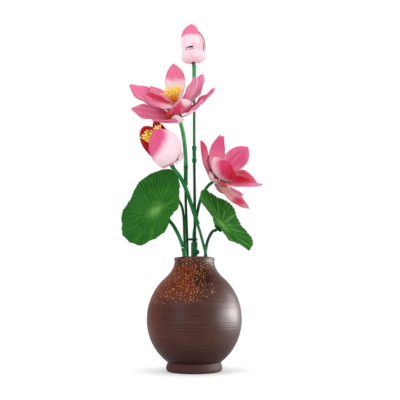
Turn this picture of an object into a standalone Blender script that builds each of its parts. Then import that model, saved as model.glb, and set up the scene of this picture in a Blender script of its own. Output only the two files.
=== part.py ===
"""Lotus arrangement: moulded petals, leaves, tubes and clips standing in a round stoneware vase.

The frame: the vase's axis is +Z, the table is z = 0 and the viewer stands at -Y, so +X is to the
viewer's right. Every length below is in millimetres and becomes metres where it reaches Blender.
"""
import math

import bmesh
import bpy
from mathutils import Matrix, Vector

MM = 0.001
GAP = 0.3
COLLECTION = "lotus_arrangement"

# Vase
VASE_HEIGHT = 121.2
BELLY_RADIUS = 51.9
BELLY_HEIGHT = 55.0
BELLY_RISE = 56.5
BELLY_DROP = 54.5
NECK_RADIUS = 22.0
NECK_HEIGHT = 116.5
LIP_RADIUS = 22.6
SHOULDER_HEIGHT = 99.2
FOOT_RADIUS = 30.2
FOOT_HEIGHT = 9.2
WALL = 4.4
NECK_WALL = 2.6
FLOOR = 9.0
VASE_SIDES = 28

# Stems
TUBE_RADIUS = 2.3
ROD_RADIUS = 1.5
STEM_START = FLOOR + 1.2

# Petals
PETAL_THICKNESS = 1.0
PETAL_ROWS = 5
PETAL_COLUMNS = 4
PETAL_BASE_SHARE = 0.22
PETAL_SHOULDER = 0.58
PETAL_POINT = 0.62
PETAL_CUP = 34

# Leaves
LEAF_THICKNESS = 1.1
LEAF_RINGS = 3
LEAF_SPOKES = 24
CLIP_RADIUS = 5.6
CLIP_DEPTH = 2.2
CLIP_PIN = 2.2

# The bar that links the open flower's rod and the bud's rod
LINK_LEVEL = 142.5
LINK_EYES = ((-8.3, 3.3), (0.45, 5.9))
LINK_HEIGHT = 2.2
LINK_RADIUS = 3.1
LINK_HOLE = 1.95
LINK_ARC = 6
LINK_SIDES = 12

# The bud's core
CORE_RADIUS = 8.5
CORE_MIDDLE = 25
CORE_RISE = 16
BUD_HUB_RADIUS = 2.5

GREEN = (0.010, 0.165, 0.036, 1.0)
LEAF_GREEN = (0.040, 0.190, 0.030, 1.0)
PINK = (0.830, 0.210, 0.370, 1.0)
PALE_PINK = (0.900, 0.640, 0.740, 1.0)
RED = (0.650, 0.020, 0.040, 1.0)
YELLOW = (0.900, 0.620, 0.050, 1.0)
BROWN = (0.060, 0.024, 0.020, 1.0)


def clear_scene():
    for item in list(bpy.data.objects):
        bpy.data.objects.remove(item, do_unlink=True)


def new_collection(name):
    group = bpy.data.collections.new(name)
    bpy.context.scene.collection.children.link(group)
    return group


def finish_material(name, colour, roughness=0.35, metallic=0.0):
    material = bpy.data.materials.new(name)
    material.use_nodes = True
    shader = material.node_tree.nodes["Principled BSDF"]
    shader.inputs["Base Color"].default_value = colour
    shader.inputs["Roughness"].default_value = roughness
    shader.inputs["Metallic"].default_value = metallic
    material.diffuse_color = colour
    return material


def add_object(group, name, data, colour, roughness=0.35):
    item = bpy.data.objects.new(name, data)
    group.objects.link(item)
    data.materials.append(finish_material(name, colour, roughness))
    return item


def smooth_path(points, steps):
    """Points on a smooth curve through the way points, with steps points for each stretch."""
    knots = [Vector(p) for p in points]
    knots = [2 * knots[0] - knots[1]] + knots + [2 * knots[-1] - knots[-2]]
    path = []
    for before, start, end, after in zip(knots, knots[1:], knots[2:], knots[3:]):
        for step in range(steps):
            t = step / steps
            path.append(0.5 * (2 * start + (end - before) * t
                               + (2 * before - 5 * start + 4 * end - after) * t * t
                               + (3 * start - before - 3 * end + after) * t ** 3))
    path.append(knots[-2])
    return path


def tube(group, name, points, radius, colour=GREEN, steps=2):
    """A round rod or tube along a smooth path, with flat ends."""
    curve = bpy.data.curves.new(name, "CURVE")
    curve.dimensions = "3D"
    curve.bevel_depth = radius * MM
    curve.bevel_resolution = 2
    curve.use_fill_caps = True
    path = smooth_path(points, steps) if len(points) > 2 else [Vector(p) for p in points]
    spline = curve.splines.new("POLY")
    spline.points.add(len(path) - 1)
    for knot, place in zip(spline.points, path):
        knot.co = (*(place * MM), 1.0)
    return add_object(group, name, curve, colour)


def mesh_of(name, builder):
    mesh = bpy.data.meshes.new(name)
    builder.to_mesh(mesh)
    builder.free()
    return mesh


def turned(group, name, profile, sides, colour, roughness):
    """A shape turned about Z from a profile of (radius, height) points."""
    mesh = bpy.data.meshes.new(name)
    edges = [(i, i + 1) for i in range(len(profile) - 1)]
    mesh.from_pydata([(r * MM, 0, z * MM) for r, z in profile], edges, [])
    item = add_object(group, name, mesh, colour, roughness)
    screw = item.modifiers.new("turn", "SCREW")
    screw.axis = "Z"
    screw.steps = sides
    screw.render_steps = sides
    screw.use_merge_vertices = True
    screw.merge_threshold = 0.00001
    screw.use_smooth_shade = True
    return item


def arc_points(centre, radii, start, end, count):
    """Points on an ellipse arc, as (radius, height), between two angles in degrees."""
    points = []
    for step in range(count + 1):
        angle = math.radians(start + (end - start) * step / count)
        points.append((centre[0] + radii[0] * math.cos(angle), centre[1] + radii[1] * math.sin(angle)))
    return points


def bend_points(start, corner, end, count):
    """Points on a smooth bend from start to end that pulls towards corner, both ends left out."""
    points = []
    for step in range(1, count):
        t = step / count
        points.append(tuple((1 - t) ** 2 * a + 2 * t * (1 - t) * b + t * t * c
                            for a, b, c in zip(start, corner, end)))
    return points


def ellipse_angle(height, rise):
    """The angle on the belly's ellipse where it passes a height."""
    return math.degrees(math.asin((height - BELLY_HEIGHT) / rise))


def vase(group):
    """The turned vase: round belly, short neck with a small lip, low foot, open inside."""
    shoulder = ellipse_angle(SHOULDER_HEIGHT, BELLY_RISE)
    foot = ellipse_angle(FOOT_HEIGHT + 1.2, BELLY_DROP)
    centre = (0, BELLY_HEIGHT)
    upper = arc_points(centre, (BELLY_RADIUS, BELLY_RISE), shoulder, 0, 6)
    lower = arc_points(centre, (BELLY_RADIUS, BELLY_DROP), 0, foot, 8)[1:]
    inner_rise = BELLY_RISE - WALL
    inner_drop = BELLY_DROP - WALL
    inner_radius = BELLY_RADIUS - WALL
    inner_foot = math.degrees(math.asin((FLOOR - BELLY_HEIGHT) / inner_drop))
    inner_shoulder = math.degrees(math.asin((SHOULDER_HEIGHT - 2 - BELLY_HEIGHT) / inner_rise))
    inner_lower = arc_points(centre, (inner_radius, inner_drop), inner_foot, 0, 5)
    inner_upper = arc_points(centre, (inner_radius, inner_rise), 0, inner_shoulder, 4)[1:]
    throat = NECK_RADIUS - NECK_WALL
    profile = [(0, FLOOR)] + inner_lower + inner_upper
    profile += bend_points(inner_upper[-1], (throat + 1.0, 107), (throat, NECK_HEIGHT), 3)
    profile += [(throat, NECK_HEIGHT), (throat + 0.4, VASE_HEIGHT - 0.8), (throat + 1.4, VASE_HEIGHT)]
    profile += [(LIP_RADIUS - 0.8, VASE_HEIGHT), (LIP_RADIUS, VASE_HEIGHT - 0.9)]
    profile += [(LIP_RADIUS - 0.3, VASE_HEIGHT - 2.4), (NECK_RADIUS, NECK_HEIGHT)]
    profile += bend_points((NECK_RADIUS, NECK_HEIGHT), (NECK_RADIUS + 1.4, 107), upper[0], 4)
    profile += upper + lower
    profile += [(FOOT_RADIUS - 1.4, FOOT_HEIGHT), (FOOT_RADIUS - 0.8, FOOT_HEIGHT - 1.8)]
    profile += [(FOOT_RADIUS, 0.5 * FOOT_HEIGHT), (FOOT_RADIUS - 0.4, 1.8), (FOOT_RADIUS - 1.6, 0.5)]
    profile += [(FOOT_RADIUS - 2.8, 0), (0, 0)]
    turned(group, "vase", profile, VASE_SIDES, BROWN, 0.2)


def frame_about(axis):
    """Unit vectors of a flower: its axis, its right and its back."""
    up = Vector(axis).normalized()
    right = (Vector((1, 0, 0)) - up.x * up).normalized()
    return up, right, up.cross(right)


def petal_width(share, shape):
    """Half width of a petal, as a share of its widest, from its foot (0) to its tip (1)."""
    shoulder = shape.get("shoulder", PETAL_SHOULDER)
    base = shape.get("base", PETAL_BASE_SHARE)
    if share < shoulder:
        return base + (1 - base) * math.sin(0.5 * math.pi * share / shoulder)
    fall = math.cos(0.5 * math.pi * (share - shoulder) / (1 - shoulder))
    return max(fall, 0) ** shape.get("point", PETAL_POINT)


def petal(group, name, foot, direction, inner, shape, colour):
    """One moulded petal: a spoon that bows away from its inner face and curls in across its width."""
    length, width = shape["length"], shape["width"]
    along = direction.normalized()
    normal = (inner - inner.dot(along) * along).normalized()
    normal = Matrix.Rotation(math.radians(shape.get("roll", 0)), 3, along) @ normal
    side = along.cross(normal)
    cup = math.radians(shape.get("cup", PETAL_CUP))
    bow = shape.get("bow", 5)
    curl = shape.get("curl", 0)
    builder = bmesh.new()
    rows = []
    for i in range(PETAL_ROWS + 1):
        step = i / PETAL_ROWS
        share = 0.5 * (step + math.sin(0.5 * math.pi * step))
        half = 0.5 * width * petal_width(share, shape)
        belly = share ** shape.get("belly", 1.0)
        middle = foot + along * length * share
        middle = middle - normal * bow * 4 * belly * (1 - belly) + normal * curl * share ** 4
        bend = cup * (0.45 + 0.55 * math.sin(math.pi * min(share + 0.1, 1)))
        row = []
        for j in range(PETAL_COLUMNS + 1):
            across = 2 * j / PETAL_COLUMNS - 1
            sideways = half * math.sin(bend * across) / math.sin(bend)
            lift = half * (1 - math.cos(bend * across)) / math.sin(bend)
            row.append(builder.verts.new((middle + side * sideways + normal * lift) * MM))
        rows.append(row)
    for low, high in zip(rows, rows[1:]):
        for j in range(PETAL_COLUMNS):
            builder.faces.new((low[j], low[j + 1], high[j + 1], high[j]))
    bmesh.ops.remove_doubles(builder, verts=builder.verts, dist=0.00001)
    item = add_object(group, name, mesh_of(name, builder), colour)
    item.data.shade_smooth()
    wall = item.modifiers.new("wall", "SOLIDIFY")
    wall.thickness = PETAL_THICKNESS * MM
    wall.offset = 0
    return item


def flower_petals(group, flower, petals):
    """Every petal of a head, each from its own foot on the ring about the hub."""
    up, right, back = frame_about(flower["axis"])
    base = Vector(flower["base"])
    for name, shape in petals.items():
        turn = math.radians(shape["turn"])
        lean = math.radians(shape["lean"])
        outward = right * math.cos(turn) + back * math.sin(turn)
        foot = base + up * shape["level"] + outward * shape.get("ring", flower["ring"])
        direction = up * math.cos(lean) + outward * math.sin(lean)
        inner = up * math.sin(lean) - outward * math.cos(lean)
        petal(group, flower["name"] + "_" + name, foot, direction, inner, shape, shape.get("colour", PINK))


def cone_between(builder, start, end, radius_start, radius_end, sides):
    """A cone or cylinder between two points, added to the mesh that is being built."""
    start, end = Vector(start), Vector(end)
    direction = end - start
    matrix = Matrix.Translation((start + end) * 0.5 * MM)
    matrix = matrix @ direction.to_track_quat("Z", "Y").to_matrix().to_4x4()
    bmesh.ops.create_cone(builder, cap_ends=True, cap_tris=False, segments=sides, matrix=matrix,
                          radius1=radius_start * MM, radius2=radius_end * MM, depth=direction.length * MM)


def united(group, name, pieces, colour):
    """One closed solid from overlapping cones and cylinders: the first is joined to all the rest."""
    tools = bpy.data.collections.new(name + "_tools")
    bpy.data.collections["cutters"].children.link(tools)
    for number, piece in enumerate(pieces[1:]):
        builder = bmesh.new()
        cone_between(builder, *piece)
        tool = bpy.data.objects.new(name + "_tool_%d" % number, mesh_of(name + "_tool", builder))
        tool.hide_render = True
        tool.display_type = "WIRE"
        tools.objects.link(tool)
    builder = bmesh.new()
    cone_between(builder, *pieces[0])
    item = add_object(group, name, mesh_of(name, builder), colour)
    join = item.modifiers.new("join", "BOOLEAN")
    join.operation = "UNION"
    join.operand_type = "COLLECTION"
    join.collection = tools
    return item


def heart(group, flower, colour=YELLOW):
    """A flower's hub with its stamens standing round it."""
    up, right, back = frame_about(flower["axis"])
    base = Vector(flower["base"])
    radius = flower["hub_radius"]
    top = flower["hub_top"]
    pieces = [(base + up * GAP, base + up * top, radius, radius, 8)]
    count = flower["stamens"]
    for number in range(count):
        turn = 2 * math.pi * number / count
        reach = flower["spread"] * (1.0 if number % 2 else 0.45)
        tall = flower["stamen_length"] * (0.9 if number % 2 else 1.05)
        outward = right * math.cos(turn) + back * math.sin(turn)
        start = base + up * (top - 1.0) + outward * radius * 0.45
        end = base + up * (top + tall) + outward * reach
        pieces.append((start, end, 0.8, 1.2, 5))
    return united(group, flower["name"] + "_heart", pieces, colour)


# The four heads. Base is the stem's end, axis the way the head looks. A petal has its turn about
# the axis (0 right, 90 back, 180 left, 270 front), its lean away from it and its level above the base.
OPEN_FLOWER = {
    "name": "open", "base": (-16.6, -4.0, 278.8), "axis": (-0.22, -0.60, 0.77), "ring": 4.4,
    "hub_radius": 3.0, "hub_top": 25, "stamens": 14, "stamen_length": 14, "spread": 9,
}
OPEN_PETALS = {
    "petal_back": dict(turn=79, lean=36, level=20, length=49, width=26, bow=6),
    "petal_back_left": dict(turn=138, lean=58, level=22, length=38, width=15, bow=3),
    "petal_right_inner": dict(turn=22, lean=45, level=18, length=38, width=20, bow=5, roll=5),
    "petal_far_left": dict(turn=157, lean=54, level=14.3, length=61.5, width=24, bow=5, roll=-15),
    "petal_left_deep": dict(turn=205, lean=52, level=21, length=35, width=28, bow=5, roll=-25),
    "petal_front_inner": dict(turn=290, lean=48, level=12, length=33, width=26, bow=7),
    "petal_right_upper": dict(turn=38, lean=54, level=12, length=51, width=22, bow=6, roll=10),
    "petal_far_right": dict(turn=10, lean=66, level=8.6, length=48, width=18, bow=4),
    "petal_low_left": dict(turn=197, lean=61.5, level=6.4, length=53, width=22.5, bow=3.5, roll=-28),
    "petal_under": dict(turn=237, lean=66, level=0.9, length=45, width=18, bow=2),
    "petal_front": dict(turn=281, lean=36, level=0, length=18, width=10, bow=2.5, cup=18, ring=6.6),
    "petal_low_right": dict(turn=324, lean=58, level=5.6, length=42, width=19, bow=4),
}
HALF_FLOWER = {
    "name": "half_open", "base": (-25.8, -14.0, 224.3), "axis": (-0.48, -0.34, 0.81), "ring": 4.2,
    "hub_radius": 2.8, "hub_top": 12, "stamens": 12, "stamen_length": 35, "spread": 10,
}
HALF_PETALS = {
    "petal_front": dict(turn=288, lean=13, level=0.8, length=47, width=36, bow=14, cup=56, base=0.5,
                        shoulder=0.45, belly=0.85),
    "petal_right": dict(turn=358, lean=25, level=10.5, length=31, width=24, bow=9, cup=48),
    "petal_left": dict(turn=152, lean=11, level=6, length=49, width=22, bow=4, roll=-35, colour=RED),
    "petal_back": dict(turn=75, lean=19, level=7, length=48, width=18, bow=6, colour=RED),
    "petal_back_right": dict(turn=46, lean=28, level=2.2, length=34, width=24, bow=9),
    "petal_cup": dict(turn=345, lean=52, level=-0.8, length=16, width=15, bow=4, cup=40, base=0.3,
                      ring=5.4),
}
SIDE_FLOWER = {
    "name": "side", "base": (21.3, 2.0, 208.9), "axis": (0.66, -0.30, 0.69), "ring": 4.2,
    "hub_radius": 2.8, "hub_top": 12, "stamens": 10, "stamen_length": 12, "spread": 7,
}
SIDE_PETALS = {
    "petal_left": dict(turn=166, lean=62, level=3.6, length=45, width=16, bow=6, curl=-5, roll=-25),
    "petal_tall": dict(turn=150, lean=38, level=9, length=46, width=30, bow=5, roll=-12,
                       shoulder=0.42, point=1.15),
    "petal_tall_back": dict(turn=122, lean=44, level=5.5, length=55, width=20, bow=5),
    "petal_front": dict(turn=261, lean=50, level=9.3, length=36, width=35, bow=8, cup=44),
    "petal_right_round": dict(turn=74, lean=24, level=12, length=47, width=26, bow=6),
    "petal_right_mid": dict(turn=327, lean=53, level=6, length=46, width=29, bow=-3, roll=55, ring=5),
    "petal_right_far": dict(turn=8, lean=56, level=6, length=52, width=20, bow=4),
    "petal_low": dict(turn=335, lean=85, level=2.5, length=47, width=19, bow=4, roll=30),
    "petal_low_back": dict(turn=27, lean=80, level=2, length=42, width=20, bow=3),
}
BUD = {"name": "bud", "base": (-0.8, 2.0, 351.4), "axis": (-0.05, -0.04, 1.0), "ring": 3.4}
BUD_PETALS = {
    "petal_front": dict(turn=262, lean=-5, level=8, length=43, width=25, bow=12, cup=56, ring=6),
    "petal_right": dict(turn=352, lean=9, level=2, length=42, width=20, bow=10, cup=50, belly=0.75),
    "petal_left": dict(turn=172, lean=8, level=2, length=40, width=19, bow=10, cup=50, belly=0.75),
    "petal_back": dict(turn=82, lean=-5, level=8, length=41, width=25, bow=12, cup=56, ring=6),
    "cup_left": dict(turn=212, lean=44, level=0, length=18, width=19, bow=5, cup=50, ring=4),
    "cup_right": dict(turn=304, lean=44, level=0, length=18, width=21, bow=5, cup=50, ring=4),
}

# Leaves: the hub, the way the upper face looks, the turn of spoke 0 from the viewer's right in
# degrees, and the reach of twelve spokes 30 degrees apart, counted from the right over the top.
LEFT_LEAF = {
    "hub": (-43.4, -8, 172.5), "normal": (-0.46, -0.79, 0.40), "cup": 5.0, "wave": 2.0, "folds": 7,
    "reach": (34, 38, 51, 57, 48, 43, 43, 45, 45, 44, 36, 31),
}
RIGHT_LEAF = {
    "hub": (29.5, -9, 156.7), "normal": (0.68, -0.44, 0.58), "cup": 6.0, "wave": 2.4, "folds": 6,
    "reach": (44, 45, 48, 58, 50, 43, 28, 21, 26, 27, 32, 40),
}


# Rods and tubes from the top down: radius, points on each stretch and the way that the middle goes.
STEMS = {
    "bud_stem_tube": (TUBE_RADIUS, 1, [(-0.8, 2, 350.6), (-0.7, 2, 316)]),
    "bud_stem_rod": (ROD_RADIUS, 1, [(-0.7, 2, 315.7), (-0.5, 3.2, 252.2)]),
    "bud_stem_lower_rod": (ROD_RADIUS + 0.1, 2, [(-0.4, 3.4, 230.9), (0.1, 5, 190), (0.5, 6, 140.3)]),
    "open_stem_tube": (TUBE_RADIUS, 2, [
        (-16.5, -3.8, 278.5), (-14.9, 0.2, 272.8), (-13.0, 2.4, 263.5), (-11.4, 2, 250),
        (-10.5, 0.8, 238), (-10.1, 0, 226)]),
    "open_stem_sleeve": (TUBE_RADIUS, 1, [(-10.1, 0, 225.7), (-10.1, 0.4, 204.5)]),
    "open_stem_rod": (ROD_RADIUS, 2, [
        (-10.1, 0.4, 204.2), (-10.0, 1.6, 185), (-8.6, 3, 150), (-7.8, 4.5, 121), (-8, 6, 100),
        (-9.5, 12, STEM_START)]),
    "half_open_stem_tube": (TUBE_RADIUS, 1, [
        (-25.6, -13.8, 223.9), (-22.6, -11.8, 219.2), (-18.4, -10.4, 214.4), (-14.6, -10, 208.6),
        (-10, -10, 198.8), (-4.8, -9.6, 184), (0.3, -9.2, 168.5), (3.6, -8.8, 157.8)]),
    "half_open_stem_rod": (ROD_RADIUS, 2, [
        (3.7, -8.6, 157.5), (7.4, -8.4, 145), (13.4, -7, 121), (15.4, -6.4, 100), (15, -5, STEM_START)]),
    "side_stem": (ROD_RADIUS + 0.3, 1, [
        (21.0, 2.4, 208.5), (16.6, 5.2, 205.6), (12.2, 10, 201.0), (8.2, 13.6, 193.6), (5.0, 14.4, 184),
        (3.0, 14.2, 174), (1.0, 13.4, 162), (-0.6, 12.4, 151), (-0.9, 11.6, 140.4)]),
    "socket_spike": (TUBE_RADIUS, 1, [(0, 8.4, 112.7), (3, 14, STEM_START)]),
    "left_leaf_socket": (TUBE_RADIUS + 0.2, 2, [
        (-11.9, -8.7, 131.4), (-10.4, -9, 120), (-10.8, -9.4, 100), (-11, -10, STEM_START)]),
    "left_leaf_brace": (ROD_RADIUS, 1, [
        (-27, 5, 197), (-22, 2.5, 192.5), (-17.4, -0.5, 185.5), (-14.1, -2.8, 178.5), (-12.4, -3.8, 169.5),
        (-11.6, -3.8, 159), (-11.2, -3.6, 146), (-10.2, -3, 121), (-11, -3, 100), (-15, -2, STEM_START)]),
}
# The leaves' stalks, below the start that the clip gives them
STALKS = {
    "left": (ROD_RADIUS + 0.5, 2, [
        (-32, 0.5, 166), (-25.2, -2, 159.5), (-19.1, -6, 149.0), (-14.9, -8, 139.4), (-12.4, -8.6, 132.6)]),
    "right": (ROD_RADIUS + 0.2, 1, [
        (21, 1.2, 151.8), (17.1, 2.4, 146.2), (14.3, 2, 138.7), (12.9, 2.2, 131), (12.2, 2.4, 121),
        (13, 3.4, 100), (15, 7, STEM_START)]),
}
# Pieces made of overlapping cylinders: start, end, the two radii and the number of sides
COUPLINGS = {
    "bud_stem_coupling": [
        ((-0.5, 3.2, 251.9), (-0.4, 3.4, 231.2), 2.0, 2.0, 10),
        ((-0.5, 3.2, 251.7), (-0.5, 3.2, 246.0), 2.6, 2.6, 10),
        ((-0.4, 3.4, 237.0), (-0.4, 3.4, 231.4), 2.6, 2.6, 10)],
    "stem_socket": [
        ((0.5, 6.2, 140.0), (0.5, 6.2, 113.0), 3.1, 3.1, 12),
        ((-0.9, 10.6, 140.0), (-0.9, 10.6, 113.0), 3.1, 3.1, 12),
        ((3.0, 6.0, 128.0), (3.0, -0.4, 128.0), 2.6, 2.6, 12)],
}


def periodic(values, turn):
    """A smooth value between evenly spaced spokes, for a turn of 0 to 1."""
    count = len(values)
    place = turn * count
    low = int(math.floor(place))
    share = place - low
    a, b, c, d = (values[(low + k) % count] for k in (-1, 0, 1, 2))
    return 0.5 * (2 * b + (c - a) * share + (2 * a - 5 * b + 4 * c - d) * share ** 2
                  + (3 * b - a - 3 * c + d) * share ** 3)


def leaf(group, name, shape):
    """A thin round leaf: rings about its hub, cupped and waved more and more towards the rim."""
    normal = Vector(shape["normal"]).normalized()
    right = (Vector((1, 0, 0)) - normal.x * normal).normalized()
    up = normal.cross(right)
    hub = Vector(shape["hub"])
    builder = bmesh.new()
    middle = builder.verts.new(hub * MM)
    rings = []
    for ring in range(1, LEAF_RINGS + 1):
        share = (ring / LEAF_RINGS) ** 0.8
        row = []
        for spoke in range(LEAF_SPOKES):
            turn = spoke / LEAF_SPOKES
            angle = 2 * math.pi * turn
            reach = periodic(shape["reach"], turn) * share
            lift = shape["cup"] * share ** 2
            lift += shape["wave"] * share ** 3 * math.sin(shape["folds"] * angle + shape.get("phase", 0))
            place = hub + right * reach * math.cos(angle) + up * reach * math.sin(angle) + normal * lift
            row.append(builder.verts.new(place * MM))
        rings.append(row)
    for spoke in range(LEAF_SPOKES):
        after = (spoke + 1) % LEAF_SPOKES
        builder.faces.new((middle, rings[0][spoke], rings[0][after]))
        for inner, outer in zip(rings, rings[1:]):
            builder.faces.new((inner[spoke], outer[spoke], outer[after], inner[after]))
    item = add_object(group, name, mesh_of(name, builder), LEAF_GREEN)
    item.data.shade_smooth()
    wall = item.modifiers.new("wall", "SOLIDIFY")
    wall.thickness = LEAF_THICKNESS * MM
    wall.offset = 0


def leaf_clip(group, name, shape):
    """The disc that holds a leaf, with its pin; gives back where the stalk meets the disc."""
    normal = Vector(shape["normal"]).normalized()
    top = Vector(shape["hub"]) - normal * (0.5 * LEAF_THICKNESS + GAP)
    face = top - normal * CLIP_PIN
    back = face - normal * CLIP_DEPTH
    pieces = [(back, face, CLIP_RADIUS, CLIP_RADIUS, 12),
              (face - normal * 0.5 * CLIP_DEPTH, top, TUBE_RADIUS, TUBE_RADIUS, 8)]
    united(group, name, pieces, GREEN)
    return back - normal * 2 * GAP, back - normal * 4


def bud_core(group):
    """The closed inner petals of the bud as one egg on the hub that the outer petals hold to."""
    egg = arc_points((0, CORE_MIDDLE), (CORE_RADIUS, CORE_RISE), 90, -70, 7)[1:]
    hub = [(BUD_HUB_RADIUS, CORE_MIDDLE - CORE_RISE), (BUD_HUB_RADIUS, GAP), (0, GAP)]
    item = turned(group, "bud_core", [(0, CORE_MIDDLE + CORE_RISE)] + egg + hub, 10, PALE_PINK, 0.35)
    item.location = Vector(BUD["base"]) * MM
    item.rotation_euler = Vector(BUD["axis"]).to_track_quat("Z", "Y").to_euler()


def stems(group):
    """The rods, tubes and couplings that carry the three flowers and the bud."""
    for name, (radius, steps, way) in STEMS.items():
        tube(group, name, way, radius, GREEN, steps)
    for name, pieces in COUPLINGS.items():
        united(group, name, pieces, GREEN)


def link_clip(group):
    """The flat bar with two eyes that ties two of the rods together."""
    curve = bpy.data.curves.new("link_clip", "CURVE")
    curve.dimensions = "2D"
    curve.fill_mode = "BOTH"
    curve.extrude = 0.5 * LINK_HEIGHT * MM
    first, second = (Vector(p) for p in LINK_EYES)
    along = (second - first).normalized()
    across = Vector((-along.y, along.x))
    outline = []
    for centre, start in ((first, 90), (second, -90)):
        for step in range(LINK_ARC + 1):
            angle = math.radians(start + 180 * step / LINK_ARC)
            outline.append(centre + LINK_RADIUS * (along * math.cos(angle) + across * math.sin(angle)))
    loops = [outline]
    for centre in (first, second):
        turns = [2 * math.pi * step / LINK_SIDES for step in range(LINK_SIDES)]
        loops.append([centre + LINK_HOLE * Vector((math.cos(t), math.sin(t))) for t in turns])
    for loop in loops:
        spline = curve.splines.new("POLY")
        spline.points.add(len(loop) - 1)
        spline.use_cyclic_u = True
        for knot, place in zip(spline.points, loop):
            knot.co = (place.x * MM, place.y * MM, 0, 1)
    item = add_object(group, "link_clip", curve, GREEN)
    item.location.z = LINK_LEVEL * MM


def leaf_stems(group):
    """Both leaves' clips and the stalks that come off them."""
    for side, shape in (("left", LEFT_LEAF), ("right", RIGHT_LEAF)):
        start = leaf_clip(group, side + "_leaf_clip", shape)
        radius, steps, way = STALKS[side]
        tube(group, side + "_leaf_stalk", [*start, *way], radius, GREEN, steps)


def main():
    clear_scene()
    parts = new_collection(COLLECTION)
    new_collection("cutters")
    vase(parts)
    stems(parts)
    link_clip(parts)
    leaf_stems(parts)
    leaf(parts, "left_leaf", LEFT_LEAF)
    leaf(parts, "right_leaf", RIGHT_LEAF)
    heads = [(OPEN_FLOWER, OPEN_PETALS), (HALF_FLOWER, HALF_PETALS), (SIDE_FLOWER, SIDE_PETALS)]
    for flower, petals in heads:
        heart(parts, flower)
        flower_petals(parts, flower, petals)
    bud_core(parts)
    flower_petals(parts, BUD, BUD_PETALS)


main()
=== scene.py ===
import math
import bmesh
import bpy
from mathutils import Matrix, Vector


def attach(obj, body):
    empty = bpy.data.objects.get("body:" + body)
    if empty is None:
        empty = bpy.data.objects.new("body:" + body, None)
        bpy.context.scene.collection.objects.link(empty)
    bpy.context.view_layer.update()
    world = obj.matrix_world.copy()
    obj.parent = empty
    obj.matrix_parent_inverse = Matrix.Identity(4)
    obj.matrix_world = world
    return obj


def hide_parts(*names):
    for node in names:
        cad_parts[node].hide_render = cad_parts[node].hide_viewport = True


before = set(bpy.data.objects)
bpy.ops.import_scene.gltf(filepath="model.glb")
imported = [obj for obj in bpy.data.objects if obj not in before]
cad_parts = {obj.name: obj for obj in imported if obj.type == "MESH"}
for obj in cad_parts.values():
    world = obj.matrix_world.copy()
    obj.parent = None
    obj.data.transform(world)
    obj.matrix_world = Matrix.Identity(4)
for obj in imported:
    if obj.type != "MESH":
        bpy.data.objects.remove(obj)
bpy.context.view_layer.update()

mm = 0.001                              # sizes below are in millimetres until they meet Blender
quarterTurn = 0.5 * math.pi
fullTurn = 2 * math.pi
weldGap = 0.002                         # points closer than this become one
scene = bpy.context.scene


# Colours, node formulas and small tools

def paint(red, green, blue):
    # a screen colour, 0 to 255, as the linear colour that a shader wants
    parts = [part / 255 for part in (red, green, blue)]
    return (*(p / 12.92 if p <= 0.04045 else ((p + 0.055) / 1.055) ** 2.4 for p in parts), 1.0)


class Field:                            # a node's output that can stand in a formula
    def __init__(self, tree, socket):
        self.tree = tree
        self.socket = socket

    __add__ = __radd__ = lambda one, other: calc("ADD", one, other)
    __mul__ = __rmul__ = lambda one, other: calc("MULTIPLY", one, other)
    __sub__ = lambda one, other: calc("SUBTRACT", one, other)
    __rsub__ = lambda one, other: calc("SUBTRACT", other, one)
    __truediv__ = lambda one, other: calc("DIVIDE", one, other)
    __pow__ = lambda one, other: calc("POWER", one, other)


def plug(tree, target, value):
    if isinstance(value, Field):
        tree.links.new(value.socket, target)
    else:
        target.default_value = value


def addNode(tree, kind, inputs=None, **settings):
    node = tree.nodes.new(kind)
    for label, value in settings.items():
        setattr(node, label, value)
    for label, value in (inputs or {}).items():
        plug(tree, node.inputs[label], value)
    return node


def made(tree, kind, inputs=None, output=0, **settings):
    return Field(tree, addNode(tree, kind, inputs, **settings).outputs[output])


def geo(tree, kind, inputs=None, **settings):
    return made(tree, "GeometryNode" + kind, inputs, **settings)


def treeOf(*values):
    return next(value.tree for value in values if isinstance(value, Field))


def calc(operation, *values):
    return made(treeOf(*values), "ShaderNodeMath", dict(enumerate(values)), operation=operation)


def sine(value):
    return calc("SINE", value)


def cosine(value):
    return calc("COSINE", value)


def root(value):
    return calc("SQRT", value)


def ramp(value, low, high, start=0.0, end=1.0):
    # a soft step from start to end while value goes from low to high
    return made(value.tree, "ShaderNodeMapRange", {0: value, 1: low, 2: high, 3: start, 4: end},
                interpolation_type="SMOOTHSTEP")


def split(vector):
    node = addNode(vector.tree, "ShaderNodeSeparateXYZ", {0: vector})
    return [Field(vector.tree, output) for output in node.outputs]


def combine(x, y, z):
    return made(treeOf(x, y, z), "ShaderNodeCombineXYZ", {0: x, 1: y, 2: z})


def scaled(vector, amount):
    return made(vector.tree, "ShaderNodeVectorMath", {0: vector, "Scale": amount}, operation="SCALE")


def cloud(vector, scale, detail=2.0, rough=0.5):
    return made(vector.tree, "ShaderNodeTexNoise",
                {"Vector": vector, "Scale": scale, "Detail": detail, "Roughness": rough})


def mixed(share, first, second):
    return made(share.tree, "ShaderNodeMix", {0: share, 6: first, 7: second}, output=2, data_type="RGBA")


def layered(colour, tints, *layers):
    # one tint over the other, each by its own share
    for share, tint in layers:
        colour = mixed(share, colour, tints[tint])
    return colour


def newFinish(name, **sockets):
    # a material, its Principled shader with these plain values, and the places on the object
    material = bpy.data.materials.new(name)
    material.use_nodes = True
    tree = material.node_tree
    shader = tree.nodes["Principled BSDF"]
    for label, value in sockets.items():
        shader.inputs[label.replace("_", " ")].default_value = value
    return material, shader, made(tree, "ShaderNodeTexCoord", output=3)


def dress(shader, colour, rough=None, height=None, strength=0.0, depth=0.0):
    # depth in millimetres
    tree = colour.tree
    plug(tree, shader.inputs["Base Color"], colour)
    if rough:
        plug(tree, shader.inputs["Roughness"], rough)
    if height:
        bump = made(tree, "ShaderNodeBump", {"Height": height, "Strength": strength, "Distance": depth * mm})
        plug(tree, shader.inputs["Normal"], bump)


# Trees that make shapes

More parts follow.
